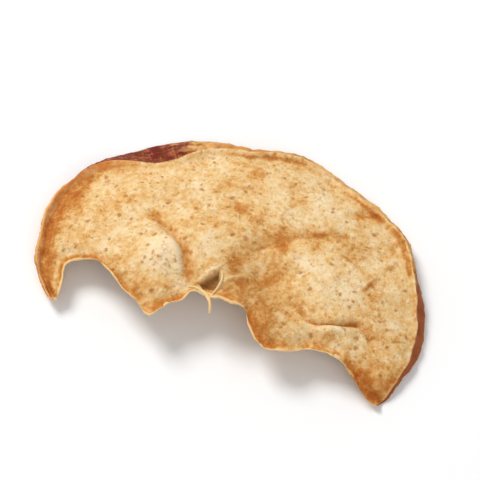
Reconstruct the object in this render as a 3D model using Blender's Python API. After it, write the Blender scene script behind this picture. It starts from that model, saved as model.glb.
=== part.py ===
"""A dried apple chip: half of a cored slice, warped as it dried, lying face up.

Metres, +Z up. The cut edge runs along X, the skin rim bows towards +Y, and the origin is at
the bottom centre of the chip's box. The shape is worked out in millimetres about the apple's
core, as seen from above: a loft of closed sections, one for each rib from the cut edge out
to the rim, that shrinks to a point at either tip.
"""
import math

import bmesh
import bpy
import numpy as np
from mathutils import Matrix, Vector, noise

MM = 0.001

# Skin rim: a distance from the core at each angle, with swells and dents in its curve
RIM_RADIUS = 32.7
RIM_SWELLS = [  # angle in degrees, height in mm, spread in degrees
    (182, -1.3, 7),
    (170, -2.5, 10),
    (135, 1.3, 12),
    (112, 0.2, 8),
    (93, -1.0, 7),
    (76, 0.8, 9),
    (60, 0.5, 9),
    (40, 1.3, 12),
    (14, 0.9, 12),
    (-6, -1.6, 7),
    (-16, -3.1, 6),
]
LEFT_TIP_ANGLE = 190.0
LEFT_TIP_START = 165.0
LEFT_TIP_FALL = 8.2

# Cut edge with its bay, core notch and lobes, and the rim angle that each rib runs out to
CUT_EDGE = [  # rim angle in degrees, x and y in mm
    (184, -23.3, -3.3),
    (178, -23.4, -1.5),
    (173, -23.6, 1.2),
    (167, -22.3, 2.5),
    (158, -19.8, 2.5),
    (150, -17.6, 1.7),
    (141, -14.0, -1.0),
    (133, -10.3, -3.5),
    (125, -7.8, -5.1),
    (118, -5.5, -2.6),
    (113, -4.0, -1.6),
    (108, -2.6, 0.3),
    (101, 0.0, -0.1),
    (92, 3.2, -0.2),
    (82, 5.8, -0.5),
    (73, 7.3, -3.0),
    (62, 9.8, -5.5),
    (51, 12.8, -5.2),
    (43, 16.2, -3.5),
    (32, 19.4, -3.4),
    (19, 22.2, -4.0),
    (7, 24.4, -5.2),
    (-3, 26.2, -6.8),
]
RIGHT_TIP_ANGLE = -14.8

# Thickness of the flesh, and how it swells to the skin and thins to the undercut edge
FLESH_THICKNESS = 2.3
RIM_THICKNESS = [  # rim angle in degrees, mm
    (-14, 0.8),
    (5, 1.3),
    (35, 2.4),
    (90, 3.3),
    (140, 3.1),
    (170, 2.2),
    (189, 1.4),
]
RIM_SWELL_REACH = 2.6
EDGE_THICKNESS = 0.75
EDGE_THIN_REACH = 1.8
EDGE_UNDERCUT = 0.8
UNDERCUT_SHARE = 0.2
TIP_TAPER = 0.03

# Skin band: how far its lower edge stands out past the upper one, by rim angle
SKIN_FLARE = [  # angle in degrees, mm
    (-15, -0.2),
    (-5, 0.2),
    (5, 1.2),
    (15, 1.5),
    (24, 0.9),
    (32, 0.7),
    (42, 1.1),
    (50, 1.7),
    (60, 2.3),
    (75, 2.8),
    (90, 3.4),
    (100, 4.2),
    (110, 5.2),
    (118, 6.4),
    (125, 6.4),
    (130, 5.2),
    (136, 3.2),
    (143, 1.5),
    (155, 0.3),
    (189, -0.3),
]
SKIN_BULGE = 0.35

# Raised lips along the rim and the cut edge, and the grooves behind them
RIM_LIP_RISE = [  # rim angle in degrees, mm
    (-14, 0.15),
    (40, 0.25),
    (65, 0.45),
    (110, 0.4),
    (120, 0.15),
    (145, 0.2),
    (165, 0.5),
    (189, 0.5),
]
RIM_LIP_WIDTH = 0.6
GROOVE_DEPTH = [  # likewise
    (-14, 0.05),
    (45, 0.05),
    (65, 0.35),
    (108, 0.35),
    (118, 0.1),
    (140, 0.2),
    (155, 0.8),
    (189, 1.1),
]
GROOVE_OFFSET = 1.7
GROOVE_WIDTH = 1.1
EDGE_LIP_RISE = 0.45
EDGE_LIP_WIDTH = 0.6
EDGE_GROOVE_OFFSET = 1.7
EDGE_GROOVE_WIDTH = 1.0
EDGE_GROOVE_DEPTH = 0.3

# Warp of the whole slice: an arch from tip to tip, whose middle also falls to the rim
ARCH_TOP_X = 1.0
ARCH_HALF_SPAN = 30.0
ARCH_DROP = 5.6
BACK_START_Y = 6.0
BACK_SPAN = 26.0
BACK_DROP = 5.0
FRONT_SPAN = 12.0
FRONT_DROP = 1.4
RIM_WAVE = 0.7
RIM_WAVES = 5.0
RIM_WAVE_REACH = 7.0
EDGE_RIPPLES = [(0.35, 9.5), (0.22, 4.1)]  # height and length of each wave in mm
EDGE_RIPPLE_REACH = 2.4
PUCKER_HEIGHT = 0.7
PUCKER_SIZE = 9.0

# Creases, bulges and hollows of the face
CREASES = [  # path in mm, half width, depth
    ([(-13.6, 12.6), (-11.0, 10.8), (-8.0, 8.6), (-5.6, 6.0), (-4.6, 3.6), (-3.8, 1.4)], 0.9, 1.0),
    ([(1.6, 7.6), (4.4, 9.9), (7.0, 12.5), (11.0, 15.0), (15.0, 16.6), (18.8, 17.8)], 1.5, 0.35),
    ([(13.6, 2.9), (15.0, 1.1), (17.2, 0.8), (20.0, 1.6), (22.9, 2.9), (24.6, 2.1), (26.1, 0.2)], 0.5, 0.7),
    ([(22.4, -2.0), (24.6, -4.4), (26.6, -6.0), (29.2, -6.2)], 0.7, 0.5),
    ([(16.0, 20.6), (18.4, 22.6), (20.8, 23.2), (23.2, 21.6)], 0.9, 0.5),
]
CREASE_SHOULDER = 2.2
CREASE_SOFTENING = 1.6  # widens the creases to what this mesh can carry
MOUNDS = [  # x, y, radius, height in mm
    (-26.5, -1.5, 7.0, -0.7),
    (-9.4, 5.8, 3.6, 1.4),
    (-17.0, 12.0, 7.0, 0.5),
    (-2.6, 9.6, 3.2, 0.6),
    (6.6, 7.6, 5.0, -2.0),
    (15.5, 8.5, 5.0, 0.6),
    (20.0, -0.6, 3.5, 0.5),
]
POCKET_CORNERS = [(-2.1, 2.1), (0.3, 0.3), (1.0, 3.2), (0.3, 4.5)]
POCKET_DEPTH = 1.3
POCKET_WALL = 1.5
POCKET_FLOOR = 0.45

# Rest pose: two small leans in degrees, then the shift in mm to the box's bottom centre, which
# leaves the lowest points of the rim just under the floor, to be pressed flat
LEAN_X = -1.16
LEAN_Y = 0.62
SHIFT = (-1.4, -12.52, 7.39)

# Loft resolution
SECTIONS = 112
UPPER_POINTS = 33
LOWER_POINTS = 14
SKIN_ROWS = 3
LIP_ROWS = 1
EDGE_CROWDING = 0.6

FLESH_COLOUR = (0.80, 0.53, 0.25, 1.0)
FLESH_ROUGHNESS = 0.8


def smooth_curve(points, places):
    """Catmull-Rom curve through the points, read at places from 0 to 1."""
    points = np.asarray(points, float)
    last = len(points) - 1
    spot = np.clip(places, 0.0, 1.0) * last
    start = np.minimum(spot.astype(int), last - 1)
    f = (spot - start)[:, None]
    before, here, after, beyond = (points[np.clip(start + step, 0, last)] for step in (-1, 0, 1, 2))
    bend = 2 * before - 5 * here + 4 * after - beyond
    snap = 3 * (here - after) + beyond - before
    return here + 0.5 * f * (after - before + f * (bend + f * snap))


def bell(distance, width):
    """Smooth hump of height 1 at distance 0."""
    return np.exp(-(distance / width) ** 2)


def rim_radius(angle):
    """Distance from the core to the outer edge of the skin, at an angle in degrees."""
    radius = RIM_RADIUS + sum(height * bell(angle - middle, spread) for middle, height, spread in RIM_SWELLS)
    fall = np.maximum(angle - LEFT_TIP_START, 0.0) / (LEFT_TIP_ANGLE - LEFT_TIP_START)
    return radius - LEFT_TIP_FALL * fall ** 2


def rim_point(angle, inward=0.0):
    """Plan position on the rim, or a distance inward from it."""
    reach = rim_radius(angle) - inward
    turn = np.radians(angle)
    return np.stack([reach * np.cos(turn), reach * np.sin(turn)], -1)


def rib_ends(places):
    """Rim angle and cut-edge point of the ribs at places from 0, the left tip, to 1."""
    tips = [(angle, *rim_point(np.float64(angle))) for angle in (LEFT_TIP_ANGLE, RIGHT_TIP_ANGLE)]
    ribs = smooth_curve([tips[0], *CUT_EDGE, tips[1]], places)
    return ribs[:, 0], ribs[:, 1:]


def by_angle(pairs, angle):
    """Value read between (rim angle, value) pairs."""
    angles, values = zip(*pairs)
    return np.interp(angle, angles, values)


def warp(x, y):
    """Height of the warped slice's middle, without creases."""
    along = np.square((x - ARCH_TOP_X) / ARCH_HALF_SPAN)
    back = np.square(np.maximum(y - BACK_START_Y, 0.0) / BACK_SPAN)
    front = np.square(np.maximum(BACK_START_Y - y, 0.0) / FRONT_SPAN)
    return -ARCH_DROP * along - BACK_DROP * back * np.maximum(1 - along, 0.0) - FRONT_DROP * front


def crease_depth(x, y, path, width, depth):
    """Depth of one crease between soft shoulders, which fades out towards both its ends."""
    places = np.linspace(0.0, 1.0, 33)
    line = smooth_curve(path, places)
    distance = np.hypot(x[..., None] - line[:, 0], y[..., None] - line[:, 1])
    fade = np.sqrt(np.sin(np.pi * places[distance.argmin(-1)]))
    nearest = distance.min(-1)
    return depth * fade * (1.3 * bell(nearest, width) - 0.3 * bell(nearest, width * CREASE_SHOULDER))


def pucker(x, y):
    """Gentle uneven buckling of the flesh."""
    spots = zip(x.ravel() / PUCKER_SIZE, y.ravel() / PUCKER_SIZE)
    return PUCKER_HEIGHT * np.array([noise.noise(Vector((*spot, 0.0))) for spot in spots]).reshape(x.shape)


def relief(x, y):
    """Creases, bulges and hollows, which bend the slice through its whole thickness."""
    height = sum(rise * bell(np.hypot(x - mid_x, y - mid_y), radius) for mid_x, mid_y, radius, rise in MOUNDS)
    for path, width, depth in CREASES:
        height -= crease_depth(x, y, path, width * CREASE_SOFTENING, depth / CREASE_SOFTENING)
    return height + pucker(x, y)


def pocket_depth(x, y):
    """Depth of the half-open seed pocket, a steep-walled triangle beside the core."""
    room = np.full(x.shape, np.inf)
    for start, end in zip(POCKET_CORNERS, POCKET_CORNERS[1:] + POCKET_CORNERS[:1]):
        step_x, step_y = end[0] - start[0], end[1] - start[1]
        across = step_x * (y - start[1]) - step_y * (x - start[0])
        room = np.minimum(room, across / math.hypot(step_x, step_y))
    share = np.clip(room / POCKET_WALL + 0.5, 0.0, 1.0)
    return POCKET_DEPTH * share * share * (3 - 2 * share)


def rim_relief(angle, inside):
    """Waves of the rim and the groove behind the skin, at a distance inside the rim."""
    wave = RIM_WAVE * np.sin(RIM_WAVES * np.radians(angle)) * np.exp(-inside / RIM_WAVE_REACH)
    return wave - by_angle(GROOVE_DEPTH, angle) * bell(inside - GROOVE_OFFSET, GROOVE_WIDTH)


def edge_relief(cut_x, past_edge):
    """Ripples of the thin cut edge, its upturned lip and the groove behind the lip."""
    wave = sum(height * np.sin(cut_x * 2 * math.pi / length) for height, length in EDGE_RIPPLES)
    lip = EDGE_LIP_RISE * bell(past_edge, EDGE_LIP_WIDTH)
    groove = EDGE_GROOVE_DEPTH * bell(past_edge - EDGE_GROOVE_OFFSET, EDGE_GROOVE_WIDTH)
    return wave * np.exp(-past_edge / EDGE_RIPPLE_REACH) + lip - groove


def undercut(cut, rim):
    """Cut edge of the lower face, set back under the upper one."""
    width = np.hypot(*(rim - cut).T)
    setback = np.minimum(EDGE_UNDERCUT, UNDERCUT_SHARE * width)
    return cut + (rim - cut) * (setback / np.maximum(width, 1e-6))[:, None]


def face(angle, cut, points, side):
    """Upper face (side 1) or lower one (side -1): for each rib, its points from cut edge to rim."""
    steps = np.linspace(0.0, 1.0, points)
    share = steps - EDGE_CROWDING * np.sin(2 * math.pi * steps) / (2 * math.pi)
    inward = by_angle(SKIN_FLARE, angle) if side > 0 else np.zeros_like(angle)
    rim = rim_point(angle, inward)
    if side < 0:
        cut = undercut(cut, rim)
    plan = cut[:, None] + (rim - cut)[:, None] * share[None, :, None]
    x, y = plan[..., 0], plan[..., 1]

    width = np.hypot(*(rim - cut).T)[:, None]
    inside = width * (1 - share)
    past_edge = width * share
    middle = warp(x, y) + relief(x, y)
    middle += rim_relief(angle[:, None], inside) + edge_relief(cut[:, :1], past_edge)

    rim_thickness = by_angle(RIM_THICKNESS, angle)[:, None]
    thickness = FLESH_THICKNESS + (rim_thickness - FLESH_THICKNESS) * np.exp(-inside / RIM_SWELL_REACH)
    thickness -= (FLESH_THICKNESS - EDGE_THICKNESS) * np.exp(-past_edge / EDGE_THIN_REACH)
    height = middle + side * thickness / 2
    if side > 0:
        height += by_angle(RIM_LIP_RISE, angle)[:, None] * bell(inside, RIM_LIP_WIDTH)
        height -= np.minimum(pocket_depth(x, y), thickness - POCKET_FLOOR)
    return np.concatenate([plan, height[..., None]], -1)


def wall(start, end, rows, outward, bulge):
    """Rows of points that round an edge over from start to end."""
    steps = np.arange(1, rows + 1) / (rows + 1)
    rounding = bulge * np.sin(np.pi * steps)[None, :, None] * outward[:, None]
    return start[:, None] + (end - start)[:, None] * steps[None, :, None] + rounding


def chip_sections():
    """Closed loops round the chip, one for each rib: upper face, skin, lower face, lip."""
    places = np.linspace(0.0, 1.0, SECTIONS)
    angle, cut = rib_ends(places)
    upper = face(angle, cut, UPPER_POINTS, 1)
    lower = face(angle, cut, LOWER_POINTS, -1)

    radial = rim_point(angle) / rim_radius(angle)[:, None]
    outward = np.concatenate([radial, np.zeros((SECTIONS, 1))], -1)
    skin = wall(upper[:, -1], lower[:, -1], SKIN_ROWS, outward, SKIN_BULGE)
    lip = wall(lower[:, 0], upper[:, 0], LIP_ROWS, -outward, EDGE_THICKNESS / 3)
    loops = np.concatenate([upper, skin, lower[:, ::-1], lip], 1)

    from_tip = np.minimum(places, 1 - places) / TIP_TAPER
    taper = np.sqrt(1 - np.maximum(1 - from_tip, 0.0) ** 2)[:, None]
    middle = loops[..., 2].mean(1, keepdims=True)
    loops[..., 2] = middle + (loops[..., 2] - middle) * taper
    return loops


def loft(name, loops):
    """Mesh through the closed loops, whose first and last shrink to one point each."""
    bm = bmesh.new()
    first_tip = bm.verts.new(loops[0].mean(0))
    last_tip = bm.verts.new(loops[-1].mean(0))
    rings = [[bm.verts.new(point) for point in loop] for loop in loops[1:-1]]
    count = len(rings[0])
    for i in range(count):
        j = (i + 1) % count
        bm.faces.new((first_tip, rings[0][i], rings[0][j]))
        bm.faces.new((last_tip, rings[-1][j], rings[-1][i]))
        for ring, following in zip(rings, rings[1:]):
            bm.faces.new((ring[i], following[i], following[j], ring[j]))
    bmesh.ops.recalc_face_normals(bm, faces=bm.faces)
    mesh = bpy.data.meshes.new(name)
    bm.to_mesh(mesh)
    bm.free()
    return mesh


def dried_apple_material():
    material = bpy.data.materials.new("dried_apple")
    material.use_nodes = True
    shader = material.node_tree.nodes["Principled BSDF"]
    shader.inputs["Base Color"].default_value = FLESH_COLOUR
    shader.inputs["Roughness"].default_value = FLESH_ROUGHNESS
    shader.inputs["Metallic"].default_value = 0.0
    return material


def set_down(mesh):
    """Takes the mesh from millimetres about the core to metres on the floor, with flat feet."""
    lean = Matrix.Rotation(math.radians(LEAN_X), 4, "X") @ Matrix.Rotation(math.radians(LEAN_Y), 4, "Y")
    mesh.transform(Matrix.Scale(MM, 4) @ Matrix.Translation(SHIFT) @ lean)
    for vertex in mesh.vertices:
        vertex.co.z = max(vertex.co.z, 0.0)


def build_chip(collection):
    mesh = loft("apple_chip", chip_sections())
    set_down(mesh)
    mesh.shade_smooth()
    mesh.materials.append(dried_apple_material())
    collection.objects.link(bpy.data.objects.new("apple_chip", mesh))


def main():
    for old in list(bpy.data.objects):
        bpy.data.objects.remove(old)
    collection = bpy.data.collections.new("apple_chip")
    bpy.context.scene.collection.children.link(collection)
    build_chip(collection)


main()
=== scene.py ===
"""Looks of the dried apple chip: its warped flesh, skin band, core walls and brown specks.

Blender works in metres with +Z up. The chip's shape is worked out in millimetres about the
apple's core, with the same named sizes as the solid that it replaces, and finer relief on top.
"""
import math

import bpy
import numpy as np
from mathutils import Matrix, Vector, noise


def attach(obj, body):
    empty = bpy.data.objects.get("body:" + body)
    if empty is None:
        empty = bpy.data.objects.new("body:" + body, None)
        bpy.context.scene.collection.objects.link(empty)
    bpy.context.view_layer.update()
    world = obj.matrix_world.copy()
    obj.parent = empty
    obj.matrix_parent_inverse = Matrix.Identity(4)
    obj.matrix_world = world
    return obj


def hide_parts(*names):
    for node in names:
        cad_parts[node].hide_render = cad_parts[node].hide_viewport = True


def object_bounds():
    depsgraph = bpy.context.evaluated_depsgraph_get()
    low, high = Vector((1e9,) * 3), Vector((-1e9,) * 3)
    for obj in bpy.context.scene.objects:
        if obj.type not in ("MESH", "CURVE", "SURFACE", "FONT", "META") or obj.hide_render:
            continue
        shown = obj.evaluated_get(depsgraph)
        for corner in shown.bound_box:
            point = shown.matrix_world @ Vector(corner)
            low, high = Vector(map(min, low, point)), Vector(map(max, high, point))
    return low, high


MM = 0.001
TINY = 1e-9

# Skin rim: a distance from the core at each angle, with swells and dents in its curve
RIM_RADIUS = 32.7
RIM_SWELLS = [  # angle in degrees, height in mm, spread in degrees
    (182, -1.3, 7),
    (170, -2.5, 10),
    (135, 1.3, 12),
    (112, 0.2, 8),
    (93, -1.0, 7),
    (76, 0.8, 9),
    (60, 0.5, 9),
    (40, 1.3, 12),
    (14, 0.9, 12),
    (-6, -1.6, 7),
    (-16, -3.1, 6),
]
LEFT_TIP_ANGLE = 190.0
LEFT_TIP_START = 165.0
LEFT_TIP_FALL = 8.2

# Cut edge with its bay, core notch and lobes, and the rim angle that each rib runs out to
CUT_EDGE = [  # rim angle in degrees, x and y in mm
    (184, -23.3, -3.3),
    (178, -23.4, -1.5),
    (173, -23.6, 1.2),
    (167, -22.3, 2.5),
    (158, -19.8, 2.5),
    (150, -17.6, 1.7),
    (141, -14.0, -1.0),
    (133, -10.3, -3.5),
    (125, -7.8, -5.1),
    (118, -5.5, -2.6),
    (113, -4.0, -1.6),
    (108, -2.6, 0.3),
    (101, 0.0, -0.1),
    (92, 3.2, -0.2),
    (82, 5.8, -0.5),
    (73, 7.3, -3.0),
    (62, 9.8, -5.5),
    (51, 12.8, -5.2),
    (43, 16.2, -3.5),
    (32, 19.4, -3.4),
    (19, 22.2, -4.0),
    (7, 24.4, -5.2),
    (-3, 26.2, -6.8),
]
RIGHT_TIP_ANGLE = -14.8
SHORTEST_RIB = 1.0  # mm: on shorter ribs the edge's raggedness fades out

# Thickness of the flesh, and how it swells to the skin and thins to the undercut edge
FLESH_THICKNESS = 2.3
RIM_THICKNESS = [  # rim angle in degrees, mm
    (-14, 0.8),
    (5, 1.3),
    (35, 2.4),
    (90, 3.3),
    (140, 3.1),
    (170, 2.2),
    (189, 1.4),
]
RIM_SWELL_REACH = 2.6
EDGE_THICKNESS = 0.75
EDGE_BULGE = EDGE_THICKNESS / 3
EDGE_THIN_REACH = 1.8
EDGE_UNDERCUT = 0.8
UNDERCUT_SHARE = 0.2
TIP_TAPER = 0.03

# Skin band: how far its lower edge stands out past the upper one, by rim angle
SKIN_FLARE = [  # angle in degrees, mm
    (-15, -0.2),
    (-5, 0.2),
    (5, 1.2),
    (15, 1.5),
    (24, 0.9),
    (32, 0.7),
    (42, 1.1),
    (50, 1.7),
    (60, 2.3),
    (75, 2.8),
    (90, 3.4),
    (100, 4.2),
    (110, 5.2),
    (118, 6.4),
    (125, 6.4),
    (130, 5.2),
    (136, 3.2),
    (143, 1.5),
    (155, 0.3),
    (189, -0.3),
]
SKIN_BULGE = 0.35

# Raised lips along the rim and the cut edge, and the grooves behind them
RIM_LIP_RISE = [  # rim angle in degrees, mm
    (-14, 0.15),
    (40, 0.25),
    (65, 0.45),
    (110, 0.4),
    (120, 0.15),
    (145, 0.2),
    (165, 0.5),
    (189, 0.5),
]
RIM_LIP_WIDTH = 0.6
GROOVE_DEPTH = [  # likewise
    (-14, 0.05),
    (45, 0.05),
    (65, 0.35),
    (108, 0.35),
    (118, 0.1),
    (140, 0.2),
    (155, 0.8),
    (189, 1.1),
]
GROOVE_OFFSET = 1.7
GROOVE_WIDTH = 1.1
EDGE_LIP_RISE = 0.45
EDGE_LIP_WIDTH = 0.6
EDGE_GROOVE_OFFSET = 1.7
EDGE_GROOVE_WIDTH = 1.0
EDGE_GROOVE_DEPTH = 0.3

# Warp of the whole slice: an arch from tip to tip, whose middle also falls to the rim
ARCH_TOP_X = 1.0
ARCH_HALF_SPAN = 30.0
ARCH_DROP = 5.6
BACK_START_Y = 6.0
BACK_SPAN = 26.0
BACK_DROP = 5.0
FRONT_SPAN = 12.0
FRONT_DROP = 1.4
RIM_WAVE = 0.7
RIM_WAVES = 5.0
RIM_WAVE_REACH = 7.0
EDGE_RIPPLES = [(0.35, 9.5), (0.22, 4.1)]  # height and length of each wave in mm
EDGE_RIPPLE_REACH = 2.4
PUCKER_HEIGHT = 0.7
PUCKER_SIZE = 9.0

# Creases, bulges and hollows of the face
CREASES = [  # path in mm, half width, depth
    ([(-13.6, 12.6), (-11.0, 10.8), (-8.0, 8.6), (-5.6, 6.0), (-4.6, 3.6), (-3.8, 1.4)], 0.9, 1.0),
    ([(1.6, 7.6), (4.4, 9.9), (7.0, 12.5), (11.0, 15.0), (15.0, 16.6), (18.8, 17.8)], 1.5, 0.35),
    ([(13.6, 2.9), (15.0, 1.1), (17.2, 0.8), (20.0, 1.6), (22.9, 2.9), (24.6, 2.1), (26.1, 0.2)], 0.5, 0.7),
    ([(22.4, -2.0), (24.6, -4.4), (26.6, -6.0), (29.2, -6.2)], 0.7, 0.5),
    ([(16.0, 20.6), (18.4, 22.6), (20.8, 23.2), (23.2, 21.6)], 0.9, 0.5),
]
CREASE_SHOULDER = 2.2  # half widths
CREASE_CORE = 1.3
SHOULDER_RISE = 0.3
MOUNDS = [  # x, y, radius, height in mm
    (-26.5, -1.5, 7.0, -0.7),
    (-9.4, 5.8, 3.6, 1.4),
    (-17.0, 12.0, 7.0, 0.5),
    (-2.6, 9.6, 3.2, 0.6),
    (6.6, 7.6, 5.0, -2.0),
    (15.5, 8.5, 5.0, 0.6),
    (20.0, -0.6, 3.5, 0.5),
]
POCKET_CORNERS = [(-2.1, 2.1), (0.3, 0.3), (1.0, 3.2), (0.3, 4.5)]
POCKET_DEPTH = 1.3
POCKET_WALL = 0.5
POCKET_FLOOR = 0.45
POCKET_RIM_DEPTH = 0.05

# Rest pose: two small leans in degrees, then the shift in mm to the box's bottom centre
LEAN_X = -1.16
LEAN_Y = 0.62
SHIFT = (-1.4, -12.52, 7.39)

# Resolution of the loft, and how far a rib's points crowd towards both its ends
SECTIONS = 450
UPPER_POINTS = 132
LOWER_POINTS = 52
SKIN_ROWS = 16
LIP_ROWS = 5
EDGE_CROWDING = 0.4
CURVE_STEPS = 33

# Papery walls of the core: x and y of each point of their foot, and how high their lower and
# upper edge lie over the flesh there, in mm
STRAND = [
    (-3.6, 1.1, -0.3, 0.1),
    (-2.4, 1.2, -0.4, 0.3),
    (-1.2, 0.7, -0.5, 0.5),
    (-0.2, -0.1, -0.4, 0.5),
    (0.6, -1.3, -0.5, 0.1),
    (0.9, -2.6, -1.1, -0.7),
]
POCKET_SIDE = [
    (0.6, 4.7, -0.4, 0.0),
    (1.0, 4.0, -0.4, 0.3),
    (1.25, 3.0, -0.4, 0.5),
    (1.1, 2.0, -0.4, 0.5),
    (0.7, 0.9, -0.4, 0.4),
    (0.5, 0.0, -0.4, 0.1),
]
CORE_WALLS = [(STRAND, 0.30), (POCKET_SIDE, 0.21)]  # path, half thickness
CORE_WALL_SECTIONS = 60
CORE_WALL_SIDES = 12
CORE_WALL_END_SHARE = 0.5  # thickness at its ends, of its thickness in the middle
GROUND_SMOOTHING = 3  # sections on either side

# Soft folds that stand up from the flesh: path in mm, half width, height
FOLDS = [
    ([(-3.0, 1.9), (-2.2, 2.4), (-1.2, 3.7), (-0.2, 4.8), (0.6, 5.6)], 0.32, 0.35),
    ([(1.2, 2.4), (2.0, 3.4), (3.1, 4.4), (4.6, 4.9), (6.0, 5.2)], 0.38, 0.40),
    ([(14.4, 0.2), (17.2, -0.2), (20.4, 0.6), (23.2, 1.6)], 0.60, 0.16),
    ([(-9.6, 8.4), (-7.4, 6.6), (-6.2, 4.4), (-5.6, 2.4)], 0.90, 0.22),
]

# Fine relief, which the solid leaves out: height in mm and size in mm of each layer
FLESH_WRINKLES = [(0.28, 4.2), (0.12, 1.9), (0.05, 0.75)]
SKIN_PLEATS = [(0.18, 2.3), (0.11, 0.9)]
CUT_RAGGEDNESS = [(0.28, 2.3), (0.14, 0.9)]
RIM_RAGGEDNESS = [(0.22, 3.1), (0.10, 1.2)]

# The pleats run down the skin, so its height counts this much of its length along the rim
PLEAT_FLATTENING = 0.375

# Fibres of the flesh, which fan out from the core
FIBRE_CENTRE = (1.2, 1.2)
FIBRE_HEIGHT = 0.16
FIBRE_COUNT = 9.0
FIBRE_SIZE = 0.5
FIBRE_START = 2.0  # mm from the core
FIBRE_REACH = 13.0

# What the finish reads at each point of the mesh
FACTS = (
    "skin",
    "band",
    "angle",
    "brown",
    "line",
    "pale",
    "gold",
    "edge_highlight_and_wall_pale",
    "russet",
    "olive",
    "pleat_shade",
)

# Seeds that keep the noise patterns apart
CUT_SEED = 3.0
FIBRE_SEED = 5.0
RIM_SEED = 7.0
PLEAT_SEED = 11.0

# Distance in mm that stands for well away from an edge
FAR = 30.0

# Browning behind the skin by rim angle in degrees: its strength, then where it starts and ends
# in mm inside the rim
RIM_BROWN_SHARE = [
    (-14, 0.25),
    (0, 0.2),
    (15, 0.2),
    (28, 0.6),
    (50, 0.8),
    (60, 0.5),
    (70, 0.3),
    (80, 0.8),
    (92, 0.9),
    (101, 0.5),
    (108, 0.0),
    (116, 0.2),
    (130, 0.4),
    (138, 0.55),
    (148, 0.85),
    (165, 0.9),
    (189, 0.7),
]
RIM_BROWN_START = [
    (-14, 0.4),
    (20, 0.1),
    (45, 0.1),
    (55, 0.4),
    (100, 0.3),
    (130, 0.4),
    (142, 0.7),
    (153, 0.7),
    (159, 1.0),
    (165, 0.6),
    (174, 0.5),
    (189, 0.5),
]
RIM_BROWN_REACH = [
    (-14, 2.6),
    (5, 1.2),
    (20, 0.8),
    (30, 1.6),
    (45, 1.3),
    (55, 1.1),
    (62, 1.5),
    (80, 1.2),
    (100, 1.0),
    (130, 0.8),
    (140, 2.6),
    (150, 4.5),
    (162, 4.6),
    (170, 3.8),
    (178, 3.6),
    (189, 3.0),
]
RIM_BROWN_ONSET = 0.4
RIM_BROWN_FADE = (0.65, 1.25)  # shares of the reach

# Painted highlight along the rim's raised lip, the russet border that widens it on the left, and painted
# highlight along the thin cut edge
RIM_LIP_HIGHLIGHT = [
    (-14, 0.4),
    (10, 0.3),
    (25, 0.2),
    (40, 0.1),
    (60, 0.3),
    (105, 0.2),
    (118, 0.0),
    (144, 0.0),
    (152, 0.5),
    (168, 0.9),
    (189, 0.9),
]
RUSSET_BORDER = [(126, 0.0), (138, 1.0), (154, 0.9), (161, 0.6), (189, 0.4)]
RUSSET_FADE = (0.6, 1.6)  # mm inside the rim
CUT_EDGE_HIGHLIGHT = [
    (-14, 0.1),
    (15, 0.3),
    (30, 0.7),
    (100, 0.9),
    (125, 0.7),
    (150, 0.6),
    (168, 0.6),
    (180, 0.8),
    (189, 0.8),
]
RIM_HIGHLIGHT_WIDTH = 0.35
RIM_HIGHLIGHT_BAND = (0.2, 0.5)  # shares of the skin band's width
CUT_HIGHLIGHT_WIDTH = 0.3

# Browning behind the cut edge, by the rim angle that its ribs run out to
CUT_BROWN_SHARE = [
    (-14, 1.2),
    (2, 1.1),
    (12, 0.9),
    (19, 0.8),
    (43, 0.5),
    (51, 0.3),
    (62, 0.9),
    (76, 1.0),
    (86, 0.4),
    (108, 0.3),
    (118, 0.6),
    (126, 0.5),
    (140, 0.6),
    (150, 0.8),
    (170, 1.0),
    (181, 0.5),
    (189, 0.5),
]
CUT_BROWN_REACH = [  # likewise, mm
    (-14, 2.6),
    (10, 2.4),
    (20, 1.8),
    (43, 1.8),
    (62, 2.4),
    (118, 2.4),
    (126, 3.4),
    (142, 3.4),
    (152, 2.0),
    (170, 1.6),
    (189, 2.0),
]
CUT_BROWN_ONSET = (0.1, 0.5)  # mm from the cut edge

# Colour of each crease: how brown its sides are, and how dark the line along its bottom; both are partly
# browning and partly painted shade
CREASE_TINTS = [(0.6, 0.5), (0.55, 0.45), (0.6, 0.6), (0.6, 0.4), (0.4, 0.3)]
CREASE_SIDE_BROWN = 0.8
CREASE_LINE_BROWN = 0.9
CREASE_LINE_WIDTH = 0.28
CREASE_LINE_SHARE = 0.25

# Strengths of what is painted on the flesh
UNDERSIDE_SHARE = 0.3
DARK_SPOT_STRENGTH = 0.7
STROKE_STRENGTH = 0.7
# Folds painted paler: the pale of the core walls running into the flesh, and painted highlight on the
# ridges beside creases
FOLD_PALE_AND_HIGHLIGHT = 0.8
MOST_BROWN = 1.2
# Painted shade in the valleys between the skin's pleats
PLEAT_SHADE_HEIGHTS = (0.01, -0.13)  # mm: where a pleat starts to darken, and where it is darkest

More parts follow.
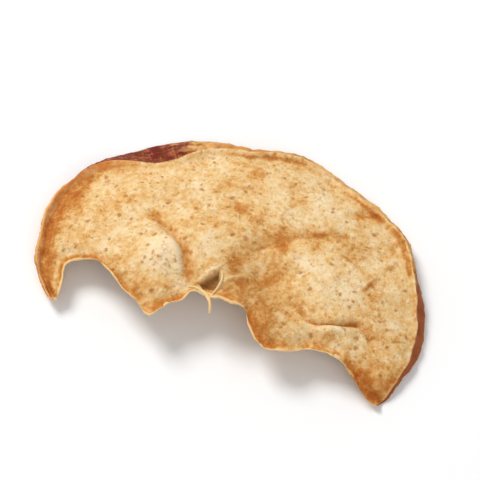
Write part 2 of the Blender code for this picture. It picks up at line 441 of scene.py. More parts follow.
# Brown strokes drawn on the flesh: path in mm, half width, strength
STROKES = [
    ([(22.2, 8.2), (23.0, 10.0), (24.2, 12.2)], 0.55, 1.3),
    ([(24.3, 13.6), (25.4, 14.6), (25.9, 16.4)], 0.55, 0.9),
    ([(17.0, 13.7), (18.6, 13.2), (20.3, 12.3)], 0.36, 0.9),
    ([(18.8, 15.8), (21.8, 16.6)], 0.30, 0.9),
    ([(27.5, 1.9), (30.7, 3.3)], 0.30, 0.9),
    ([(26.0, 3.5), (28.7, 4.4)], 0.28, 0.7),
    ([(-12.4, 14.9), (-9.5, 15.7), (-5.8, 16.3)], 0.45, 0.5),
    ([(-20.4, 5.6), (-16.0, 6.0), (-13.4, 5.4)], 0.40, 0.4),
    ([(-11.6, -0.6), (-9.4, -1.0), (-7.6, -2.4)], 0.45, 0.5),
    ([(10.2, -4.4), (13.0, -4.0), (16.4, -2.4)], 0.45, 0.3),
    ([(1.2, 0.7), (2.2, 1.6), (3.2, 2.8), (4.4, 4.0), (5.6, 4.4)], 0.45, 0.9),
    ([(1.6, 3.6), (1.9, 4.9), (2.1, 6.3), (1.5, 7.8)], 0.80, 0.6),
    ([(3.6, 7.4), (5.4, 6.8), (6.8, 6.0), (8.7, 4.6)], 0.60, 0.7),
    ([(7.7, 6.2), (9.3, 8.0), (10.8, 9.8)], 0.50, 0.6),
    ([(9.0, 15.6), (11.5, 14.8), (13.2, 15.9), (15.1, 17.0), (17.4, 17.1)], 0.60, 0.6),
    ([(14.0, 2.0), (15.6, 1.2), (17.6, 0.9), (19.7, 1.4), (21.8, 2.2), (23.4, 2.4)], 0.60, 0.35),
    ([(7.4, 0.2), (7.8, -1.5), (8.7, -3.0), (10.2, -4.3)], 0.80, 0.4),
    ([(-4.3, 14.1), (-3.2, 14.5), (-1.9, 14.1)], 0.45, 0.6),
]

# Stains of the flesh: x and y in mm, radius in mm, strength
STAINS = [
    (-12.3, 12.0, 1.0, 0.6),
    (-5.9, 6.6, 0.9, 0.4),
    (-5.1, 4.9, 0.9, 0.5),
    (-4.3, 3.2, 0.8, 0.6),
    (-5.2, -2.4, 1.2, 0.7),
    (-7.4, -3.4, 1.4, 0.4),
    (-11.5, -0.6, 2.0, 0.4),
    (2.0, 6.4, 1.1, 0.8),
    (-1.2, 5.2, 0.8, 0.4),
    (3.3, 3.0, 1.1, 0.5),
    (6.2, 2.6, 4.6, 0.5),
    (8.4, -0.2, 2.2, 0.3),
    (10.8, -3.0, 2.2, 0.4),
    (13.2, 0.6, 2.4, 0.4),
    (2.2, 6.8, 1.2, 0.2),
    (8.6, 12.3, 0.9, 0.5),
    (-24.2, 12.0, 1.6, 0.35),
    (24.2, 8.0, 1.0, 0.4),
    (25.4, 0.8, 1.2, 0.3),
    (27.5, -1.6, 1.8, 0.3),
    (8.4, 6.2, 2.2, 0.3),
    (10.4, 8.8, 1.8, 0.5),
    (8.6, 12.2, 1.2, 0.3),
    (6.8, 13.9, 1.2, 0.5),
    (3.4, 15.3, 1.5, 0.6),
    (0.9, 16.6, 1.3, 0.6),
    (-2.6, 12.6, 1.2, 0.5),
    (-2.7, 20.9, 1.2, 0.5),
    (0.8, 24.4, 1.5, 0.4),
    (9.0, -2.6, 1.6, 0.4),
    (12.6, 14.4, 1.6, 0.3),
    (18.6, 22.2, 1.2, 0.3),
    (20.6, 22.6, 1.1, 0.5),
    (26.8, -6.0, 2.2, 1.1),
    (25.0, -4.4, 1.5, 0.8),
    (29.6, -3.0, 2.0, 0.4),
]

# Small dark brown spots of the flesh, likewise
DARK_SPOTS = [
    (2.6, 11.2, 0.6, 0.9),
    (6.0, 13.4, 0.6, 0.8),
    (7.4, 14.4, 0.5, 0.8),
    (6.2, 10.6, 0.6, 0.6),
    (3.8, 14.9, 0.6, 0.9),
    (-3.5, 11.0, 0.5, 0.6),
    (-8.7, 4.2, 0.5, 0.5),
    (-14.7, 19.1, 0.5, 0.8),
    (-21.8, 17.3, 0.5, 0.7),
    (-19.2, 17.4, 0.4, 0.6),
    (-17.0, 13.5, 0.5, 0.5),
    (-20.6, 7.1, 0.5, 0.6),
    (-24.2, 10.2, 0.5, 0.6),
    (26.1, 4.9, 0.6, 0.5),
    (31.0, 2.2, 0.6, 0.7),
    (21.0, 14.8, 0.5, 0.7),
    (17.6, 8.8, 0.5, 0.6),
    (16.3, 7.1, 0.5, 0.9),
    (15.8, 2.6, 0.6, 0.8),
    (11.0, 10.9, 0.55, 0.9),
]

# Dull brown of the flesh round the core, partly browning and partly painted shade, likewise
CORE_BROWN_AND_SHADE = [
    (2.4, 6.0, 2.2, 0.20),
    (5.4, 5.4, 3.0, 0.22),
    (7.6, 1.6, 3.4, 0.28),
    (11.0, -2.0, 2.4, 0.12),
    (9.6, 8.6, 2.0, 0.12),
]

# Paler patches of the flesh, many of them painted highlight on its bulges, likewise
PALE_PATCHES_AND_HIGHLIGHTS = [
    (-9.3, 4.4, 3.0, 1.0),
    (-3.5, 8.6, 2.2, 0.9),
    (-7.4, 18.4, 2.2, 0.5),
    (-14.6, 8.6, 3.6, 0.8),
    (-8.5, 27.0, 2.0, 0.6),
    (2.5, 26.2, 2.0, 0.5),
    (12.6, 24.0, 2.2, 0.6),
    (-3.0, 6.4, 1.4, 0.6),
    (-6.4, 1.8, 1.5, 0.6),
    (26.0, 6.6, 1.4, 0.7),
    (18.0, 5.4, 2.4, 0.5),
    (-4.6, 0.8, 1.3, 0.8),
    (0.0, 8.6, 1.4, 0.5),
    (9.8, 26.6, 2.4, 0.5),
    (16.0, 21.6, 1.8, 0.7),
    (4.3, 20.4, 2.2, 0.5),
    (13.0, 20.3, 2.4, 0.7),
    (12.2, 10.4, 2.2, 0.9),
    (15.4, 8.4, 3.2, 0.9),
    (13.4, -2.2, 2.0, 0.6),
    (20.6, 8.4, 2.2, 0.6),
    (21.3, 19.6, 1.5, 0.6),
    (25.9, 11.9, 1.3, 0.6),
    (22.6, -0.6, 2.0, 0.5),
]

# Flesh colours, linear: its tones from palest to most browned, then what lies on it
FLESH_TONES = [
    (0.0, (0.89, 0.71, 0.45, 1.0)),
    (0.24, (0.82, 0.575, 0.285, 1.0)),
    (0.43, (0.74, 0.43, 0.155, 1.0)),
    (0.62, (0.60, 0.26, 0.066, 1.0)),
    (0.84, (0.51, 0.165, 0.034, 1.0)),
    (1.0, (0.42, 0.11, 0.018, 1.0)),
]
DUST_BROWN = (0.44, 0.16, 0.030, 1.0)
SPECK_BROWN = (0.40, 0.145, 0.026, 1.0)
# Brown of the strokes, dark spots and crease lines; along the creases it is partly painted shade
LINE_BROWN = (0.42, 0.135, 0.021, 1.0)
# Painted highlight colours of the cut edge and the rim's lip; the cream is also the core walls' own pale
# colour
HIGHLIGHT_AND_WALL_CREAM = (0.90, 0.59, 0.29, 1.0)
RIM_HIGHLIGHT_GOLD = (0.84, 0.43, 0.155, 1.0)
RUSSET = (0.58, 0.19, 0.038, 1.0)
# Dark olive of the seed pocket and round the core, partly painted shade in those hollows
OLIVE = (0.29, 0.135, 0.034, 1.0)

# Skin colours, linear
SKIN_RED = (0.15, 0.018, 0.010, 1.0)
SKIN_ROSE = (0.45, 0.12, 0.057, 1.0)
SKIN_RUST = (0.33, 0.085, 0.033, 1.0)
SKIN_CREAM = (0.76, 0.43, 0.145, 1.0)
SKIN_GOLD = (0.62, 0.25, 0.055, 1.0)
SKIN_TAN = (0.46, 0.16, 0.035, 1.0)
# Painted shade colour of the valleys between the skin's pleats
PLEAT_SHADE_BROWN = (0.24, 0.065, 0.014, 1.0)
SKIN_APRICOT = (0.70, 0.31, 0.095, 1.0)

# Noise patterns of the finish: size in mm, detail, roughness
MOTTLE = (3.6, 5.0, 0.78)
FLECKS = (0.9, 3.0, 0.7)
UNEVENNESS = (1.5, 3.0, 0.65)
CLUSTERS = (5.5, 2.0, 0.5)
GRAIN = (0.65, 2.0, 0.6)
FINE_GRAIN = (0.40, 3.0, 0.6)
SKIN_PATCHES = (2.4, 3.0, 0.6)
SKIN_STREAKS = (1.0, 3.0, 0.6)
BLUSH_PATCHES = (1.5, 3.0, 0.65)

# How far patterns are moved along so that none repeats another, in mm
FLECK_SHIFT = 31.0
UNEVEN_SHIFT = 71.0
CLUSTER_SHIFT = 57.0
LARGE_SPECK_SHIFT = 83.0
DOT_SHIFT = 19.0

# Specks: spacing, smallest and largest radius, width of the soft edge, all in mm, and strength
SMALL_SPECKS = (1.1, 0.03, 0.34, 0.26, 0.45)
LARGE_SPECKS = (2.3, 0.06, 0.50, 0.38, 0.75)
SKIN_FRECKLES = (1.1, 0.03, 0.30, 0.20, 0.35)
SKIN_DOTS = (1.9, 0.02, 0.20, 0.14, 0.4)
SMALLEST_SHARE = 0.1  # share of the specks that have the smallest radius

# Wobble of the flesh's specks, which keeps them from being quite round
WOBBLE_REACH = 0.9
WOBBLE_PER_MM = 0.9
WOBBLE_DETAIL = 1.0

# Tone of the flesh from 0, palest, to 1, and how far each thing moves it
TONE_MIDDLE = 0.37
MOTTLE_SWAY = 1.5
FLECK_SWAY = 1.0
BROWN_RISE = 0.50
PALE_FALL = 0.27
TONE_SCALE = 0.86

# Fades: two values of a pattern, and the strengths at them
BROWN_PATCHINESS = (0.3, 0.7, 0.7, 1.3)
CROWDED_DUST = (0.42, 0.65, 0.0, 0.10)
BROWN_DUST = 0.10
DUST = (0.60, 0.82, 0.0, 0.5)
LINE_PATCHINESS = (0.35, 0.6, 0.4, 1.1)
RUSSET_PATCHINESS = (0.3, 0.7, 1.0, 0.6)
LIP_FLECKS = 0.5
LIP_FADE = (0.45, 1.0)
OLIVE_STRENGTH = 0.85
TAN_PATCHINESS = (0.46, 0.72, 0.0, 0.75)
ROSE_FADE = (0.70, 0.95)
PLEAT_SHADE_PATCHINESS = (0.3, 0.7, 0.2, 0.8)

# Zones of the skin by rim angle in degrees: where each starts and where it is full, then its
# strengths at the two
ANGLE_SWAY = 24.0
RIGHT_CREAM = (92.0, 78.0)
BACK_CREAM = (98.0, 108.0, 0.0, 0.8)
RIGHT_RUST = (36.0, 20.0, 0.0, 0.95)
LEFT_APRICOT = (142.0, 154.0, 0.0, 0.9)
BLUSH_START = (108.0, 117.0)
BLUSH_END = (156.0, 142.0)

# Streaks that run down the skin, and how it turns from gold at its upper edge to cream below
CREAM_BAND = (0.35, 0.8)
STREAK_SWAY = 0.8
STREAK_STRETCH = (1.6, 0.3, 1.0)
STREAK_SHARE = 0.5
SKIN_MM_PER_DEGREE = math.radians(RIM_RADIUS)

# Numbers of the Mix node's colour sockets
MIX_UNDER = 6
MIX_OVER = 7
MIX_RESULT = 2

# Surface of the flesh and skin
FLESH_ROUGHNESS = 0.8
SKIN_ROUGHNESS_FALL = -0.2
SPECULAR = 0.03
SUBSURFACE_WEIGHT = 0.3
SUBSURFACE_RADIUS = (1.0, 0.5, 0.2)
SUBSURFACE_SCALE = 0.0012
PORES_PER_MM = 2.2
PORE_DEPTH = 0.5
SPECK_DEPTH = 0.1
BUMP_STRENGTH = 0.7
BUMP_DISTANCE = 0.0002

# Floor and light
FLOOR_SIZE = 4.0
FLOOR_WHITE = (0.93, 0.93, 0.93, 1.0)
FLOOR_ROUGHNESS = 0.9
LAMPS = [  # name, azimuth and elevation in degrees, distance and size in m, power in W
    ("key_light", -125.0, 50.0, 0.9, 0.4, 5.8),
    ("fill_light", 35.0, 45.0, 1.1, 0.9, 2.8),
]
SKY_WHITE = (1.0, 1.0, 1.0, 1.0)
SKY_STRENGTH = 0.44

# Camera
CAMERA_AZIMUTH = 16.0
CAMERA_ELEVATION = 60.0
CAMERA_LENS = 150.0
SENSOR = 36.0
CLIP_START = 0.01
CHIP_SHARE_OF_FRAME = 0.84


def smooth_curve(points, places):
    """Catmull-Rom curve through the points, read at places from 0 to 1."""
    points = np.asarray(points, float)
    last = len(points) - 1
    spot = np.clip(places, 0.0, 1.0) * last
    start = np.minimum(spot.astype(int), last - 1)
    f = (spot - start)[:, None]
    before, here, after, beyond = (points[np.clip(start + step, 0, last)] for step in (-1, 0, 1, 2))
    bend = 2 * before - 5 * here + 4 * after - beyond
    snap = 3 * (here - after) + beyond - before
    return here + 0.5 * f * (after - before + f * (bend + f * snap))


def bell(distance, width):
    """Smooth hump of height 1 at distance 0."""
    return np.exp(-(distance / width) ** 2)


def rim_radius(angle):
    """Distance from the core to the outer edge of the skin, at an angle in degrees."""
    swell = sum(height * bell(angle - middle, spread) for middle, height, spread in RIM_SWELLS)
    fall = np.maximum(angle - LEFT_TIP_START, 0.0) / (LEFT_TIP_ANGLE - LEFT_TIP_START)
    return RIM_RADIUS + swell - LEFT_TIP_FALL * fall ** 2


def rim_point(angle, inward=0.0):
    """Plan position on the rim, or a distance inward from it."""
    reach = rim_radius(angle) - inward
    turn = np.radians(angle)
    return np.stack([reach * np.cos(turn), reach * np.sin(turn)], -1)


def noise_at(points, size, seed=0.0):
    """Smooth noise from about -1 to 1, with features of a size in mm."""
    places = (points / size + seed).reshape(-1, points.shape[-1]).tolist()
    if points.shape[-1] == 2:
        values = [noise.noise(Vector((*place, seed))) for place in places]
    else:
        values = [noise.noise(Vector(place)) for place in places]
    return np.array(values).reshape(points.shape[:-1])


def layered_noise(points, layers, seed=0.0):
    """Sum of noise layers, each with its height and size in mm."""
    return sum(height * noise_at(points, size, seed + size) for height, size in layers)


def rib_ends(places):
    """Rim angle and cut-edge point of the ribs at places from 0, the left tip, to 1."""
    tips = [(angle, *rim_point(np.float64(angle))) for angle in (LEFT_TIP_ANGLE, RIGHT_TIP_ANGLE)]
    ribs = smooth_curve([tips[0], *CUT_EDGE, tips[1]], places)
    angle, cut = ribs[:, 0], ribs[:, 1:]
    inward = rim_point(angle) - cut
    inward /= np.maximum(np.hypot(*inward.T), SHORTEST_RIB)[:, None]
    return angle, cut + inward * layered_noise(cut, CUT_RAGGEDNESS, CUT_SEED)[:, None]


def by_angle(pairs, angle):
    """Value read between (rim angle, value) pairs."""
    angles, values = zip(*pairs)
    return np.interp(angle, angles, values)


def warp(x, y):
    """Height of the warped slice's middle, without creases."""
    along = np.square((x - ARCH_TOP_X) / ARCH_HALF_SPAN)
    back = np.square(np.maximum(y - BACK_START_Y, 0.0) / BACK_SPAN)
    front = np.square(np.maximum(BACK_START_Y - y, 0.0) / FRONT_SPAN)
    return -ARCH_DROP * along - BACK_DROP * back * np.maximum(1 - along, 0.0) - FRONT_DROP * front


def nearest_on(path, x, y):
    """Distance to the smooth curve through a path, and where along it from 0 to 1 that is."""
    places = np.linspace(0.0, 1.0, CURVE_STEPS)
    line = smooth_curve(path, places)
    nearest = np.full(x.shape, np.inf)
    along = np.zeros(x.shape)
    for place, (start_x, start_y), (step_x, step_y) in zip(places, line, np.diff(line, axis=0)):
        ahead = (x - start_x) * step_x + (y - start_y) * step_y
        share = np.clip(ahead / (step_x ** 2 + step_y ** 2), 0.0, 1.0)
        distance = np.hypot(x - start_x - share * step_x, y - start_y - share * step_y)
        along = np.where(distance < nearest, place + share * places[1], along)
        nearest = np.minimum(nearest, distance)
    return nearest, along


def crease_depth(x, y, path, width, depth):
    """Depth of one crease between soft shoulders, which fades out towards both its ends."""
    nearest, along = nearest_on(path, x, y)
    fade = np.sqrt(np.maximum(np.sin(np.pi * along), 0.0))
    shoulders = SHOULDER_RISE * bell(nearest, width * CREASE_SHOULDER)
    return depth * fade * (CREASE_CORE * bell(nearest, width) - shoulders)


def spots(x, y, places):
    """Sum of soft round spots, each with its middle, radius and height or strength."""
    return sum(
        height * bell(np.hypot(x - mid_x, y - mid_y), radius)
        for mid_x, mid_y, radius, height in places
    )


def pucker(x, y):
    """Gentle uneven buckling of the flesh."""
    return PUCKER_HEIGHT * noise_at(np.stack([x, y], -1), PUCKER_SIZE)


def relief(x, y):
    """Creases, bulges and hollows, which bend the slice through its whole thickness."""
    return spots(x, y, MOUNDS) + pucker(x, y) - sum(crease_depth(x, y, *crease) for crease in CREASES)


def pocket_depth(x, y):
    """Depth of the half-open seed pocket, a steep-walled triangle beside the core."""
    room = np.full(x.shape, np.inf)
    for start, end in zip(POCKET_CORNERS, POCKET_CORNERS[1:] + POCKET_CORNERS[:1]):
        step_x, step_y = end[0] - start[0], end[1] - start[1]
        across = step_x * (y - start[1]) - step_y * (x - start[0])
        room = np.minimum(room, across / math.hypot(step_x, step_y))
    share = np.clip(room / POCKET_WALL + 0.5, 0.0, 1.0)
    return POCKET_DEPTH * share * share * (3 - 2 * share)


def rim_relief(angle, inside):
    """Waves of the rim and the groove behind the skin, at a distance inside the rim."""
    wave = RIM_WAVE * np.sin(RIM_WAVES * np.radians(angle)) * np.exp(-inside / RIM_WAVE_REACH)
    return wave - by_angle(GROOVE_DEPTH, angle) * bell(inside - GROOVE_OFFSET, GROOVE_WIDTH)


def edge_relief(cut_x, past_edge):
    """Ripples of the thin cut edge, its upturned lip and the groove behind the lip."""
    wave = sum(height * np.sin(cut_x * 2 * math.pi / length) for height, length in EDGE_RIPPLES)
    lip = EDGE_LIP_RISE * bell(past_edge, EDGE_LIP_WIDTH)
    groove = EDGE_GROOVE_DEPTH * bell(past_edge - EDGE_GROOVE_OFFSET, EDGE_GROOVE_WIDTH)
    return wave * np.exp(-past_edge / EDGE_RIPPLE_REACH) + lip - groove


def undercut(cut, rim):
    """Cut edge of the lower face, set back under the upper one."""
    width = np.hypot(*(rim - cut).T)
    setback = np.minimum(EDGE_UNDERCUT, UNDERCUT_SHARE * width)
    return cut + (rim - cut) * (setback / np.maximum(width, TINY))[:, None]


def face(angle, cut, points, side):
    """Upper face (side 1) or lower one (side -1): for each rib, its points from cut edge to rim."""
    steps = np.linspace(0.0, 1.0, points)
    share = steps - EDGE_CROWDING * np.sin(2 * math.pi * steps) / (2 * math.pi)
    inward = layered_noise(rim_point(angle), RIM_RAGGEDNESS, RIM_SEED + side)
    if side > 0:
        inward += by_angle(SKIN_FLARE, angle)
    rim = rim_point(angle, inward)
    if side < 0:
        cut = undercut(cut, rim)
    plan = cut[:, None] + (rim - cut)[:, None] * share[None, :, None]
    x, y = plan[..., 0], plan[..., 1]

    width = np.hypot(*(rim - cut).T)[:, None]
    inside = width * (1 - share)
    past_edge = width * share
    middle = warp(x, y) + relief(x, y)
    middle += rim_relief(angle[:, None], inside) + edge_relief(cut[:, :1], past_edge)

    rim_thickness = by_angle(RIM_THICKNESS, angle)[:, None]
    thickness = FLESH_THICKNESS + (rim_thickness - FLESH_THICKNESS) * np.exp(-inside / RIM_SWELL_REACH)
    thickness -= (FLESH_THICKNESS - EDGE_THICKNESS) * np.exp(-past_edge / EDGE_THIN_REACH)
    height = middle + side * thickness / 2
    if side > 0:
        height += by_angle(RIM_LIP_RISE, angle)[:, None] * bell(inside, RIM_LIP_WIDTH)
        height -= np.minimum(pocket_depth(x, y), thickness - POCKET_FLOOR)
    return np.concatenate([plan, height[..., None]], -1), inside, past_edge


def wall(start, end, rows, outward, bulge):
    """Rows of points that round an edge over from start to end."""
    steps = np.arange(1, rows + 1) / (rows + 1)
    rounding = bulge * np.sin(np.pi * steps)[None, :, None] * outward[:, None]
    return start[:, None] + (end - start)[:, None] * steps[None, :, None] + rounding


def outward_normals(loops):
    """Unit normals of the lofted grid, from the neighbours of each point."""
    across = np.roll(loops, -1, 1) - np.roll(loops, 1, 1)
    along = np.gradient(loops, axis=0)
    normals = np.cross(along, across)
    return normals / np.maximum(np.linalg.norm(normals, axis=-1, keepdims=True), TINY)


def skin_pleats(loops, angle):
    """Pleats that the skin draws into as it dries: round ridges with sharp valleys between."""
    unrolled = np.stack([np.radians(angle) * RIM_RADIUS, loops[..., 2] * PLEAT_FLATTENING], -1)
    pleats = 0.0
    for height, size in SKIN_PLEATS:
        ridges = np.abs(noise_at(unrolled, size, PLEAT_SEED + size))
        pleats += height * (ridges * 2 - 0.5)
    return pleats


def fine_relief(loops, facts):
    """Wrinkles of the flesh, folds, fibres that fan out from the core, and pleats of the skin."""
    x, y = loops[..., 0], loops[..., 1]
    flesh = layered_noise(loops, FLESH_WRINKLES)
    flesh += facts["upper"] * sum(crease_depth(x, y, *fold) for fold in FOLDS)
    from_core = loops[..., :2] - FIBRE_CENTRE
    reach = np.hypot(from_core[..., 0], from_core[..., 1])
    turn = np.arctan2(from_core[..., 1], from_core[..., 0])
    fan = np.stack([turn * FIBRE_COUNT / math.pi, reach / FIBRE_REACH], -1)
    near = np.clip((reach - FIBRE_START) / FIBRE_START, 0.0, 1.0) * bell(reach, FIBRE_REACH)
    flesh += FIBRE_HEIGHT * near * noise_at(fan, FIBRE_SIZE, FIBRE_SEED)
    return flesh * (1 - facts["skin"]) + skin_pleats(loops, facts["angle"]) * facts["skin"]


def ramp(value, start, end):
    """Goes smoothly from 0 to 1 as the value goes from start to end."""
    share = np.clip((value - start) / (end - start), 0.0, 1.0)
    return share * share * (3 - 2 * share)


def paint(loops, facts):
    """Adds how brown, lined, pale, golden, glowing, russet and olive the chip is at each point, including
    painted highlights on lips, edges and bulges and painted shade in creases, hollows and pleat valleys.
    """
    x, y = loops[..., 0], loops[..., 1]
    angle, inside, past_edge = facts["angle"], facts["inside"], facts["past_edge"]
    upper = facts["upper"]
    shown = UNDERSIDE_SHARE + (1 - UNDERSIDE_SHARE) * upper

    start = by_angle(RIM_BROWN_START, angle)
    reach = by_angle(RIM_BROWN_REACH, angle)
    behind_rim = by_angle(RIM_BROWN_SHARE, angle) * ramp(inside, start, start + RIM_BROWN_ONSET)
    behind_rim *= 1 - ramp(inside, reach * RIM_BROWN_FADE[0], reach * RIM_BROWN_FADE[1])
    behind_cut = by_angle(CUT_BROWN_SHARE, angle) * ramp(past_edge, *CUT_BROWN_ONSET)
    behind_cut *= 1 - ramp(past_edge, CUT_BROWN_ONSET[1], by_angle(CUT_BROWN_REACH, angle))
    brown = np.maximum(behind_rim, behind_cut) + shown * spots(x, y, STAINS)

    lined = upper * DARK_SPOT_STRENGTH * spots(x, y, DARK_SPOTS)
    # Browned sides and a dark line along the bottom of each crease, partly painted shade
    for (path, width, _), (sides, bottom) in zip(CREASES, CREASE_TINTS):
        line_width = CREASE_LINE_WIDTH + CREASE_LINE_SHARE * width
        brown += sides * np.maximum(crease_depth(x, y, path, width, CREASE_SIDE_BROWN), 0.0)
        lined += bottom * np.maximum(crease_depth(x, y, path, line_width, CREASE_LINE_BROWN), 0.0)
    for path, width, strength in STROKES:
        lined += upper * np.maximum(crease_depth(x, y, path, width, STROKE_STRENGTH * strength), 0.0)
    folded = sum(np.maximum(crease_depth(x, y, path, width, 1.0), 0.0) for path, width, _ in FOLDS)
    pocket = upper * pocket_depth(x, y) / POCKET_DEPTH
    # Painted highlight along the rim's raised lip, on the skin band's upper rows and just inside the rim,
    # and along the thin cut edge
    on_band = 1 - ramp(facts["band"], *RIM_HIGHLIGHT_BAND)
    rim_highlight = np.where(facts["skin"] > 0, on_band, bell(inside, RIM_HIGHLIGHT_WIDTH))

    facts["brown"] = np.clip(brown, 0.0, MOST_BROWN)
    facts["line"] = np.clip(lined, 0.0, 1.0) * (1 - pocket)
    # Pale patches and folds, partly painted highlight on bulges and ridges
    facts["pale"] = shown * spots(x, y, PALE_PATCHES_AND_HIGHLIGHTS) + FOLD_PALE_AND_HIGHLIGHT * upper * folded
    facts["gold"] = by_angle(RIM_LIP_HIGHLIGHT, angle) * rim_highlight
    facts["edge_highlight_and_wall_pale"] = by_angle(CUT_EDGE_HIGHLIGHT, angle) * bell(past_edge, CUT_HIGHLIGHT_WIDTH)
    facts["russet"] = by_angle(RUSSET_BORDER, angle) * (1 - ramp(inside, *RUSSET_FADE))
    # Dark olive in the seed pocket and dull brown round the core, partly painted shade
    facts["olive"] = np.clip(pocket + upper * spots(x, y, CORE_BROWN_AND_SHADE), 0.0, 1.0)
    # Painted shade in the valleys between the skin's pleats
    facts["pleat_shade"] = facts["skin"] * ramp(skin_pleats(loops, angle), *PLEAT_SHADE_HEIGHTS)


def core_wall(points, half, upper):
    """Thin upright wall along a path over the flesh, as closed sections, with its finish."""
    places = np.linspace(0.0, 1.0, CORE_WALL_SECTIONS)
    track = smooth_curve(points, places)
    flesh = upper[pocket_depth(upper[..., 0], upper[..., 1]) < POCKET_RIM_DEPTH]
    apart = track[:, None, :2] - flesh[None, :, :2]
    ground = flesh[np.hypot(apart[..., 0], apart[..., 1]).argmin(1), 2]
    window = 2 * GROUND_SMOOTHING + 1
    ground = np.convolve(np.pad(ground, GROUND_SMOOTHING, "edge"), np.full(window, 1 / window), "valid")

    ahead = np.gradient(track[:, :2], axis=0)
    side = np.stack([-ahead[:, 1], ahead[:, 0]], -1) / np.hypot(*ahead.T)[:, None]
    turn = np.linspace(0.0, 2 * math.pi, CORE_WALL_SIDES, endpoint=False)
    thinning = CORE_WALL_END_SHARE + (1 - CORE_WALL_END_SHARE) * np.sin(np.pi * places)
    across = half * thinning[:, None] * np.cos(turn)
    up = 0.5 + 0.5 * np.sin(turn)
    plan = track[:, None, :2] + side[:, None] * across[..., None]
    height = ground[:, None] + track[:, 2:3] + (track[:, 3:4] - track[:, 2:3]) * up
    loops = np.concatenate([plan, height[..., None]], -1)
    facts = dict.fromkeys(FACTS, np.zeros(loops.shape[:2]))
    # The core walls take the cut edge highlight's cream in full, as their own pale colour
    facts["edge_highlight_and_wall_pale"] = np.ones(loops.shape[:2])
    return loops, facts


def chip_sections():
    """Closed loops round the chip, one for each rib, and what each point's finish depends on."""
    places = np.linspace(0.0, 1.0, SECTIONS)
    angle, cut = rib_ends(places)
    upper, upper_inside, upper_past = face(angle, cut, UPPER_POINTS, 1)
    lower, lower_inside, lower_past = face(angle, cut, LOWER_POINTS, -1)

    radial = rim_point(angle) / rim_radius(angle)[:, None]
    outward = np.concatenate([radial, np.zeros((SECTIONS, 1))], -1)
    skin = wall(upper[:, -1], lower[:, -1], SKIN_ROWS, outward, SKIN_BULGE)
    lip = wall(lower[:, 0], upper[:, 0], LIP_ROWS, -outward, EDGE_BULGE)
    loops = np.concatenate([upper, skin, lower[:, ::-1], lip], 1)

    from_tip = np.minimum(places, 1 - places) / TIP_TAPER
    taper = np.sqrt(1 - np.maximum(1 - from_tip, 0.0) ** 2)[:, None]
    middle = loops[..., 2].mean(1, keepdims=True)
    loops[..., 2] = middle + (loops[..., 2] - middle) * taper

    skin_zero = np.zeros((SECTIONS, SKIN_ROWS))
    lip_zero = np.zeros((SECTIONS, LIP_ROWS))
    inside = np.concatenate([upper_inside, skin_zero, lower_inside[:, ::-1], lip_zero + FAR], 1)
    past_edge = np.concatenate([upper_past, skin_zero + FAR, lower_past[:, ::-1], lip_zero], 1)
    band = np.zeros(loops.shape[:2])
    band[:, UPPER_POINTS - 1:UPPER_POINTS + SKIN_ROWS + 1] = np.linspace(0.0, 1.0, SKIN_ROWS + 2)
    upper_mask = np.zeros(loops.shape[:2])
    upper_mask[:, :UPPER_POINTS] = 1.0
    skin_mask = np.zeros(loops.shape[:2])
    skin_mask[:, UPPER_POINTS:UPPER_POINTS + SKIN_ROWS] = 1.0
    facts = {
        "inside": inside,
        "past_edge": past_edge,
        "upper": upper_mask,
        "skin": skin_mask,
        "band": band,
        "angle": np.repeat(angle[:, None], loops.shape[1], 1),
    }
    paint(loops, facts)
    loops += outward_normals(loops) * (fine_relief(loops, facts) * taper)[..., None]
    return loops, facts


def merge_poles(values):
    """Values of each loop's points in one row, with the first and last loop as one point each."""
    tail = values.shape[2:]
    return np.concatenate([values[:1].mean(1), values[1:-1].reshape(-1, *tail), values[-1:].mean(1)])


def loft_faces(sections, count, first):
    """Faces through closed loops whose first and last are one point, from a point number on."""
    last = first + 1 + (sections - 2) * count
    ring = first + 1 + np.arange(count)
    following = np.roll(ring, -1)
    starts = np.arange(sections - 3)[:, None] * count
    here, beside = ring + starts, following + starts
    quads = np.stack([here, here + count, beside + count, beside], -1)
    end = ring + (sections - 3) * count
    first_fan = np.stack([np.full_like(ring, first), ring, following], -1)
    last_fan = np.stack([np.full_like(ring, last), np.roll(end, -1), end], -1)
    return first_fan.tolist() + quads.reshape(-1, 4).tolist() + last_fan.tolist()


def loft(name, pieces):
    """Mesh through each piece's closed loops, with its finish as attributes."""
    points = [merge_poles(loops) for loops, _ in pieces]
    faces = []
    first = 0
    for (loops, _), own in zip(pieces, points):
        faces += loft_faces(*loops.shape[:2], first)
        first += len(own)
    mesh = bpy.data.meshes.new(name)
    mesh.from_pydata(np.concatenate(points).tolist(), [], faces)
    for key in FACTS:
        values = np.concatenate([merge_poles(facts[key]) for _, facts in pieces])
        layer = mesh.attributes.new(key, "FLOAT", "POINT")
        layer.data.foreach_set("value", values.astype(np.float32))
    mesh.shade_smooth()
    return mesh


def set_down(mesh):
    """Takes the mesh from millimetres about the core to metres on the floor, with flat feet."""
    lean = Matrix.Rotation(math.radians(LEAN_X), 4, "X") @ Matrix.Rotation(math.radians(LEAN_Y), 4, "Y")
    mesh.transform(Matrix.Scale(MM, 4) @ Matrix.Translation(SHIFT) @ lean)
    points = np.empty(len(mesh.vertices) * 3, np.float32)
    mesh.vertices.foreach_get("co", points)
    points[2::3] = np.maximum(points[2::3], 0.0)
    mesh.vertices.foreach_set("co", points)
    mesh.update()


